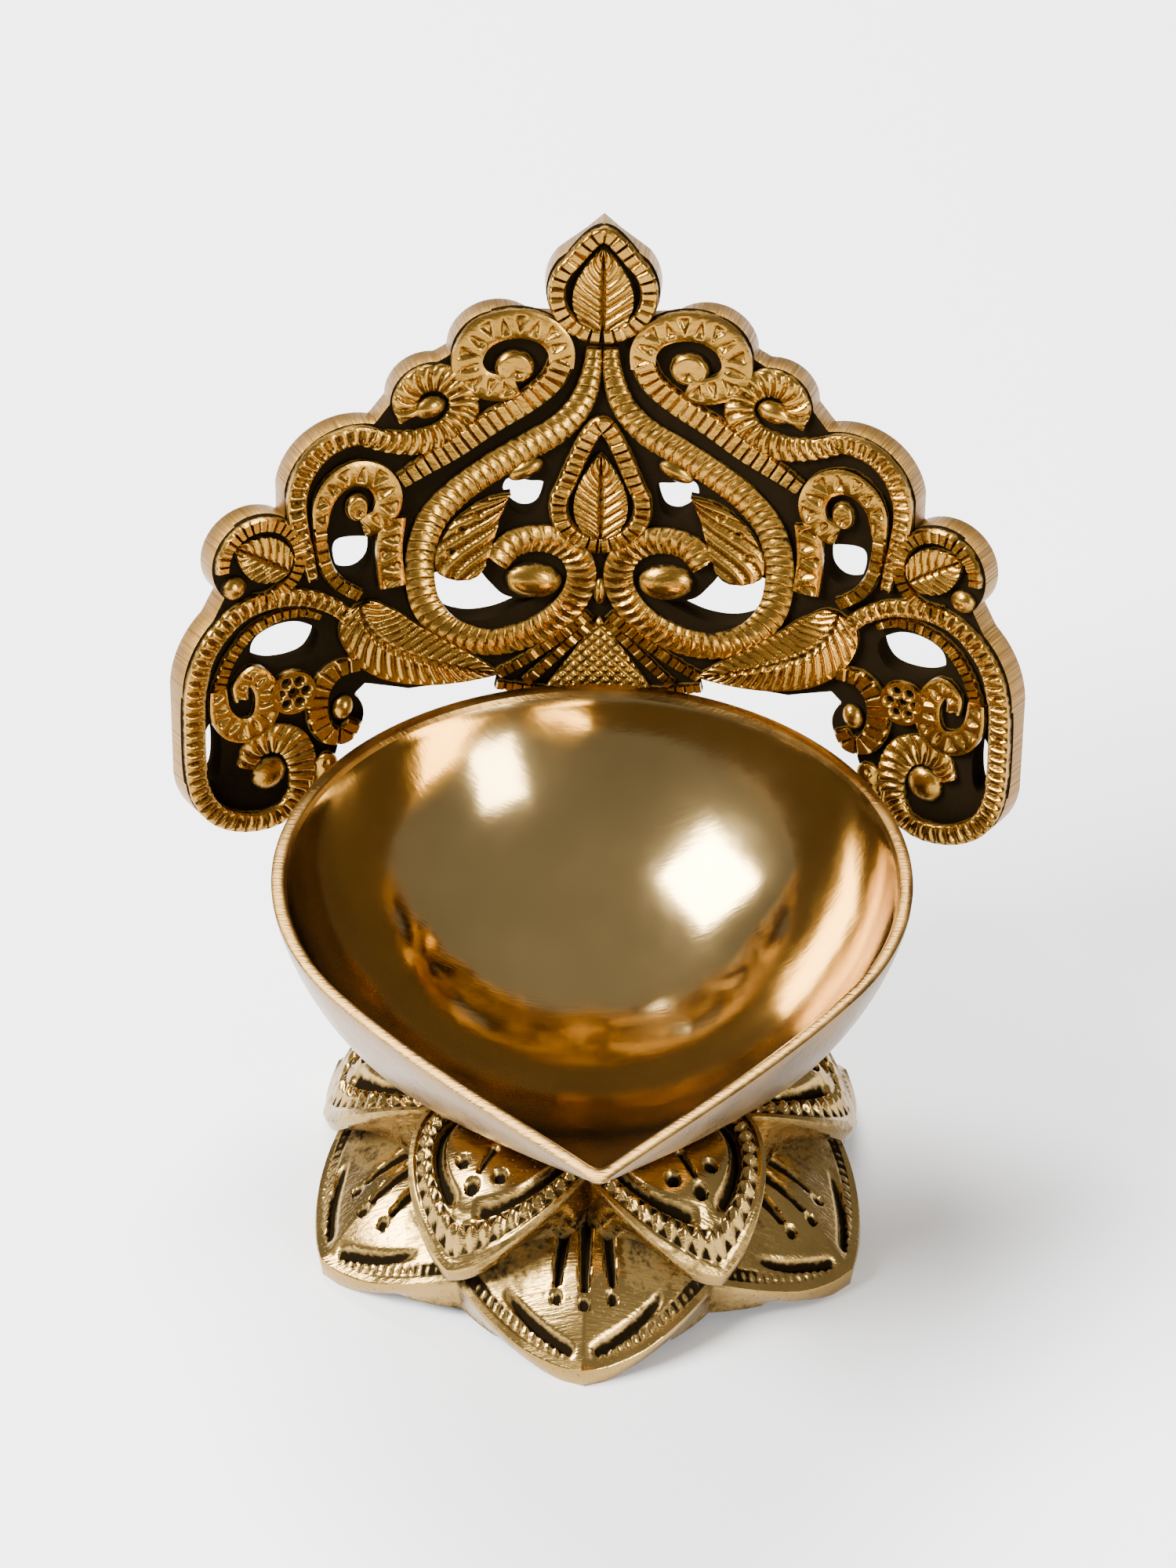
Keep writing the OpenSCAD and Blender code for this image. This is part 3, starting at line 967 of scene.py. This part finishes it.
def lay_scrolls(bm):
    """Rails and scrolls of the right half."""
    lyre = [(1.0, 46.4), (1.3, 43.0), (2.5, 38.9), (5.3, 35.3), (9.7, 32.5), (14.0, 29.8),
            (18.1, 26.8), (21.1, 23.2), (22.5, 18.6), (22.4, 13.8), (21.2, 10.2), (18.4, 7.1),
            (14.3, 5.5), (9.9, 6.0), (5.9, 8.2), (3.1, 11.6), (2.3, 15.2), (3.7, 18.4),
            (7.1, 20.0), (10.8, 19.4), (13.1, 17.0)]
    band(bm, lyre, taper(0.9, 1.85, 1.8, 0.2), rope(1.3))
    tail = [(25.0, 29.4), (22.0, 31.2), (18.0, 33.5), (13.6, 36.5), (9.3, 39.2), (6.3, 41.8),
            (5.0, 44.6)]
    band(bm, tail, taper(1.1, 1.7, 1.65, 0.4), studs(1.35))
    crest = [(5.0, 43.8), (5.1, 46.4), (6.6, 48.6), (9.5, 49.8), (12.8, 49.6), (15.5, 47.9),
             (16.6, 44.9), (15.3, 42.3), (12.6, 41.3), (10.6, 41.9)]
    band(bm, crest, taper(1.5, 1.95, 1.7), triangles(2.0), columns=14)
    boss(bm, (10.7, 43.9), (2.6, 2.45), 1.25, curl_head)

    shell = [(29.4, 36.1), (26.4, 35.0), (22.6, 34.5), (19.0, 35.6), (17.0, 38.4), (17.5, 41.3),
             (20.0, 43.1), (22.9, 42.5), (24.2, 40.2), (23.6, 37.9)]
    band(bm, shell, taper(1.2, 1.85, 1.5), radial(1.4), columns=14)
    boss(bm, (21.2, 39.1), (2.1, 1.5), 1.4, turn=-18)
    shoulder = [(27.0, 35.4), (30.4, 36.4), (34.3, 35.4), (37.1, 32.6), (38.3, 28.8), (37.9, 24.6),
                (37.0, 20.8), (36.4, 17.4)]
    band(bm, shoulder, taper(1.1, 1.3, 0.65, 0.4), ladder(1.45))

    comma = [(35.3, 24.6), (34.9, 27.8), (33.3, 30.2), (30.5, 31.3), (27.7, 30.1), (26.5, 27.3),
             (27.5, 24.7), (29.9, 23.8)]
    band(bm, comma, taper(1.0, 1.75, 1.5, 0.6), triangles(2.2), columns=14)
    boss(bm, (30.5, 26.5), (1.6, 2.1), 1.35, curl_head)
    band(bm, [(35.3, 25.4), (35.2, 22.0), (34.5, 18.6), (32.8, 16.0), (30.4, 14.2)], 0.95, studs(1.4))
    band(bm, [(26.0, 24.6), (26.5, 20.0), (26.1, 14.9)], 1.65, triangles(2.0), columns=12)

    ear = arc((43.2, 21.3), 5.15, -4, 282, 24)
    band(bm, ear, taper(0.85, 1.0, 0.9), studs(1.05))
    boss(bm, (46.7, 18.3), (1.7, 1.6), 1.4)

    arch = [(31.2, 10.2), (33.4, 12.8), (37.4, 15.0), (41.8, 15.6), (45.4, 15.0), (48.3, 13.2),
            (50.8, 10.2), (52.4, 5.6), (52.8, -0.6), (52.5, -8.0), (50.6, -12.4), (47.3, -14.9),
            (43.4, -15.7), (40.4, -14.8), (38.7, -12.4)]
    band(bm, arch, taper(1.0, 1.4, 1.3), notches(1.4))
    second = [(35.4, 12.0), (38.2, 13.2), (41.6, 13.1), (45.2, 11.5), (48.0, 8.2), (49.6, 4.2)]
    band(bm, second, taper(0.5, 0.85, 1.0), studs(1.1), top=1.15)
    paisley = [(49.5, 4.8), (49.2, 1.2), (47.4, -1.3), (44.7, -1.8), (43.0, 0.2), (43.0, 3.4),
               (44.6, 5.7), (46.3, 4.7), (46.3, 2.6)]
    band(bm, paisley, taper(1.1, 1.75, 0.9), triangles(1.8), columns=12)
    small = [(30.4, 4.4), (33.6, 4.0), (35.7, 1.6), (36.1, -2.0), (34.8, -5.0), (32.5, -5.5),
             (31.2, -3.6)]
    band(bm, small, taper(1.0, 1.65, 1.1), studs(1.5))
    boss(bm, (32.7, -1.7), (1.4, 1.8), 1.45, turn=15)
    snail = [(39.8, -14.3), (38.5, -11.8), (38.3, -8.4), (39.5, -5.4), (42.0, -4.1), (44.6, -5.0),
             (45.8, -7.4)]
    band(bm, snail, taper(1.4, 2.05, 1.3, 0.6), radial(1.4), columns=14)
    boss(bm, (42.7, -9.0), (2.35, 2.5), 1.45, turn=20)
    boss(bm, (9.3, 29.7), (2.4, 1.25), 1.25, turn=-30)


def curl_head(x, y):
    """A flat-topped head with one punched mark."""
    height = 0.95 * clamp01((1.02 - math.hypot(x, y)) * 4)
    return height - 0.45 * hump(math.hypot(x + 0.1, (y + 0.35) * 1.6), 0.34)


def honeycomb(x, y):
    """Seven round pits in a low disc."""
    pits = [(0, 0)] + [(0.58 * math.cos(k * math.pi / 3), 0.58 * math.sin(k * math.pi / 3))
                       for k in range(6)]
    deepest = max(clamp01((0.25 - math.hypot(x - a, y - b)) * 9) for a, b in pits)
    return 0.95 - 0.75 * deepest


def pyramids(pitch, foot, length):
    """A grid of small pyramids set cornerwise, on a triangle of the given half foot."""
    def height(along, side):
        across = side * foot * (1 - along / length)
        u = abs(2 * frac((along + across) / pitch) - 1)
        v = abs(2 * frac((along - across) / pitch) - 1)
        return 0.25 + 0.7 * (1 - max(u, v))
    return height


def lay_leaves(bm):
    """Egg, leaves, rosette and braces of the right half."""
    boss(bm, (8.3, 14.1), (3.5, 2.5), 1.9, turn=6, rings=12, spokes=48)
    feather = [(18.0, 14.9), (17.3, 18.2), (15.9, 21.4), (13.8, 24.3), (11.2, 26.6)]
    marks = ((3.6, -0.45), (6.6, -0.45), (9.4, -0.4))
    band(bm, feather, leaf_width(3.3, 0.24, 0.25), slashes(3.4, 5.0, marks), columns=20, step=0.2)
    broad = [(30.5, 12.9), (29.2, 9.3), (26.2, 6.0), (22.0, 3.8), (17.6, 2.3), (12.4, 1.0)]
    band(bm, broad, leaf_width(4.35, 0.3), veins(1.35, 2.6, lip=1.0), columns=30, step=0.2)
    ear_leaf = [(39.6, 19.4), (42.4, 21.4), (46.6, 24.2)]
    band(bm, ear_leaf, leaf_width(3.0, 0.42), veins(1.15, 1.8), columns=20, step=0.2)
    boss(bm, (39.4, 2.1), (3.0, 3.0), 1.35, honeycomb, rings=16, spokes=60)
    wing_leaf = [(34.5, -7.8), (35.7, -10.6), (37.5, -13.7)]
    band(bm, wing_leaf, leaf_width(1.65, 0.45), slashes(9.0, -2.4, ((1.4, 0.2), (3.1, -0.3), (4.9, 0.2))),
         columns=14, step=0.2)
    brace = [(1.2, 9.3), (4.7, 6.3), (8.7, 3.3), (12.8, 0.9)]
    band(bm, brace, 0.8, studs(1.1), top=1.15)
    band(bm, [(0.9, 8.1), (3.8, 5.1), (6.7, 2.1), (9.2, -0.4)], 0.75, studs(1.1), top=1.15)


def lay_centre(bm):
    """Crown, middle drop and pyramid grid, which stand on the centre line."""
    band(bm, drop_line((0, 53.7), 5.65, 7.9), 1.1, studs(1.35), columns=10, step=0.2)
    band(bm, [(0, 48.9), (0, 54.0), (0, 60.0)], leaf_width(3.7, 0.36), veins(1.65, 2.8), columns=28,
         step=0.18)
    band(bm, drop_line((0, 24.4), 5.25, 11.5), 1.2, studs(1.2), columns=10, step=0.18)
    band(bm, [(0, 20.2), (0, 25.2), (0, 32.0)], leaf_width(3.35, 0.36), veins(1.45, 2.4), columns=26,
         step=0.18)
    foot, low, high = 6.9, -1.8, 8.6
    band(bm, [(0, low), (0, (low + high) / 2), (0, high)], lambda t: foot * (1 - t) + 0.1,
         pyramids(1.5, foot, high - low), columns=56, step=0.18, top=1.1)
    band(bm, [(-13.0, -0.6), (-7, -1.7), (0, -2.1), (7, -1.7), (13.0, -0.6)], 0.7, studs(1.15), top=1.15)
    boss(bm, (0, 12.4), (0.8, 1.9), 1.2)


# ------------ stage


def soft_light(name, place, target, width, height, power):
    """A rectangular studio softbox that faces target; lengths in metres."""
    lamp = bpy.data.lights.new(name, "AREA")
    lamp.shape = "RECTANGLE"
    lamp.size = width
    lamp.size_y = height
    lamp.energy = power
    holder = add_object(name, lamp)
    holder.location = place
    holder.rotation_euler = (Vector(target) - Vector(place)).to_track_quat("-Z", "Y").to_euler()


def aim_camera(elevation, azimuth, roll, distance, target, lens):
    """A camera that looks down at target from the lamp's front."""
    e, a = math.radians(elevation), math.radians(azimuth)
    back = Vector((math.sin(a) * math.cos(e), -math.cos(a) * math.cos(e), math.sin(e)))
    right = Vector((math.cos(a), math.sin(a), 0))
    turn = Matrix((right, back.cross(right), back)).transposed().to_4x4()
    data = bpy.data.cameras.new("Camera")
    data.lens = lens
    data.sensor_width = 36.0
    data.clip_start = 0.01
    camera = add_object("Camera", data)
    camera.matrix_world = (Matrix.Translation(Vector(target) + back * distance)
                           @ turn @ Matrix.Rotation(math.radians(roll), 4, "Z"))
    bpy.context.scene.camera = camera


# ------------ operators


class DIYA_OT_stage(bpy.types.Operator):
    """Pale table, soft lights and the camera"""

    bl_idname = "diya.stage"
    bl_label = "Stage"

    def execute(self, context):
        bm = bmesh.new()
        bmesh.ops.create_grid(bm, x_segments=2, y_segments=2, size=3.0)
        material, g, shader = start_material("Pale table")
        shader.inputs["Metallic"].default_value = 0.0
        shader.inputs["Roughness"].default_value = 0.75
        colour = finish_colours().floor
        paper = g.mix(g.noise(g.place(), 900.0), shade(colour, 0.985), shade(colour, 1.015))
        g.feed(shader.inputs["Base Color"], paper)
        floor = mesh_object(bm, "floor", [material])

        world = bpy.data.worlds.new("Studio")
        context.scene.world = world
        world.use_nodes = True
        sky = NodeGraph(world.node_tree)
        light = world.node_tree.nodes["Background"]
        light.inputs["Color"].default_value = (1.0, 0.985, 0.96, 1.0)
        height = sky.add("ShaderNodeSeparateXYZ", {
            "Vector": sky.add("ShaderNodeTexCoord").outputs["Generated"]}).outputs["Z"]
        sky.feed(light.inputs["Strength"], sky.span(height, 0.0, 0.9, 0.38, 0.56))
        heart = (0, 0, 0.05)
        soft_light("Left window", (-0.78, -0.32, 0.80), heart, 0.58, 0.52, 60.0)
        soft_light("Right window", (0.64, -0.80, 0.32), heart, 0.30, 0.42, 13.0)
        soft_light("Rear softbox", (-0.2, 0.9, 1.2), heart, 0.9, 0.5, 62.0)
        aim_camera(elevation=37.5, azimuth=0.9, roll=0.5, distance=0.65,
                   target=(-0.0009, 0.0191 + axis_y() * MM, 0.0485), lens=120.2)
        return {"FINISHED"}


class DIYA_OT_lotus(bpy.types.Operator):
    """Two tiers of chased petals that carry the bowl"""

    bl_idname = "diya.lotus"
    bl_label = "Lotus base"

    def execute(self, context):
        s = sizes()
        brass = relief_brass("Bright cast brass", finish_colours().bright, clean=0.45, spread=0.3,
                             rough=0.2, specks=0.5)
        lower_tip = mm(s.lower_tip)
        hollow = [(33.0, 2.0), (29.0, 6.0), (24.0, 9.0), (19.5, 11.8), (14.0, 12.0), (5.4, 12.0),
                  (2.65, 12.0), (2.65, 14.5), (12.0, 14.5)]
        lower = petal_tier(lower_tip, lower_tip - 6.4, 1.7, LOWER_SLOPE, lower_petal_relief, 16.0,
                           hollow, 0.0)
        finish_piece(lower, "lotus_lower_petals", [brass], ["lotus_base"])
        upper_tip = mm(s.upper_tip)
        upper = petal_tier(upper_tip, upper_tip - 10.6, 3.3, UPPER_DOME, upper_petal_relief, 17.0,
                           [(24.0, 11.0), (18.0, 13.0)], PETAL_ANGLE / 2)
        finish_piece(upper, "lotus_upper_petals", [brass])
        return {"FINISHED"}


class DIYA_OT_bowl(bpy.types.Operator):
    """The pointed oil bowl"""

    bl_idname = "diya.bowl"
    bl_label = "Oil bowl"

    def execute(self, context):
        # The rim and outside get the darker brushed colour, which is partly painted shade.
        outside = satin_metal("Brushed brass with painted shade", finish_colours().brushed_with_painted_shade, 0.3)
        finish_piece(make_bowl_mesh(), "oil_bowl_shell", [polished_brass(), outside],
                     ["oil_bowl"])
        return {"FINISHED"}


class DIYA_OT_plate(bpy.types.Operator):
    """The back plate's body with its filed edge"""

    bl_idname = "diya.plate"
    bl_label = "Plate body"

    def execute(self, context):
        antique = relief_brass("Antique ground", finish_colours().antique, clean=0.5, spread=0.2,
                               rough=0.3, specks=0.2)
        bm = plate_body_mesh()
        bend_plate(bm)
        rear = satin_metal("Rough brass rear", finish_colours().filed, 0.42)
        finish_piece(bm, "plate_body", [antique, filed_brass(), rear], ["back_plate"])
        return {"FINISHED"}


class DIYA_OT_relief(bpy.types.Operator):
    """Scrolls, rails, leaves and beads on the plate's front"""

    bl_idname = "diya.relief"
    bl_label = "Plate relief"

    def execute(self, context):
        antique = relief_brass("Antique brass", finish_colours().antique, clean=0.5, spread=0.2,
                               rough=0.24, specks=0.35)
        scrolls = new_mesh()
        lay_scrolls(scrolls)
        both_sides(scrolls)
        bend_plate(scrolls)
        finish_piece(scrolls, "plate_scrolls", [antique], crease=60)
        leaves = new_mesh()
        lay_leaves(leaves)
        both_sides(leaves)
        lay_centre(leaves)
        bend_plate(leaves)
        finish_piece(leaves, "plate_leaves", [antique], crease=60)
        return {"FINISHED"}


class DIYA_OT_clamp(bpy.types.Operator):
    """Finishes for the strap, stud, washers and nut"""

    bl_idname = "diya.clamp"
    bl_label = "Clamp finishes"

    def execute(self, context):
        brass = satin_metal("Satin brass", finish_colours().antique, 0.34)
        steel = satin_metal("Zinc steel", (0.62, 0.63, 0.64), 0.36)
        finishes = {"plate_strap": brass, "clamp_stud": brass, "plain_washer": steel,
                    "spring_washer": steel, "hex_nut": steel}
        for node, material in finishes.items():
            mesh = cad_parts[node].data
            mesh.materials.clear()
            mesh.materials.append(material)
        return {"FINISHED"}


class DIYA_PT_panel(bpy.types.Panel):
    """Buttons and sizes of the diya"""

    bl_label = "Diya Oil Lamp"
    bl_idname = "DIYA_PT_panel"
    bl_space_type = "VIEW_3D"
    bl_region_type = "UI"
    bl_category = "Diya"

    def draw(self, context):
        for group in (context.scene.diya_sizes, context.scene.diya_finish):
            box = self.layout.box()
            for name in group.__annotations__:
                box.prop(group, name)
        for step in STEPS:
            self.layout.operator(step.bl_idname)


STEPS = (DIYA_OT_stage, DIYA_OT_lotus, DIYA_OT_bowl, DIYA_OT_plate, DIYA_OT_relief, DIYA_OT_clamp)
CLASSES = (DiyaSizes, DiyaFinish, *STEPS, DIYA_PT_panel)


def register():
    for cls in CLASSES:
        bpy.utils.register_class(cls)
    bpy.types.Scene.diya_sizes = PointerProperty(type=DiyaSizes)
    bpy.types.Scene.diya_finish = PointerProperty(type=DiyaFinish)


def unregister():
    del bpy.types.Scene.diya_finish
    del bpy.types.Scene.diya_sizes
    for cls in reversed(CLASSES):
        bpy.utils.unregister_class(cls)


def main():
    register()
    bpy.ops.diya.stage()
    bpy.ops.diya.lotus()
    bpy.ops.diya.bowl()
    bpy.ops.diya.plate()
    bpy.ops.diya.relief()
    bpy.ops.diya.clamp()


if __name__ == "__main__":
    main()
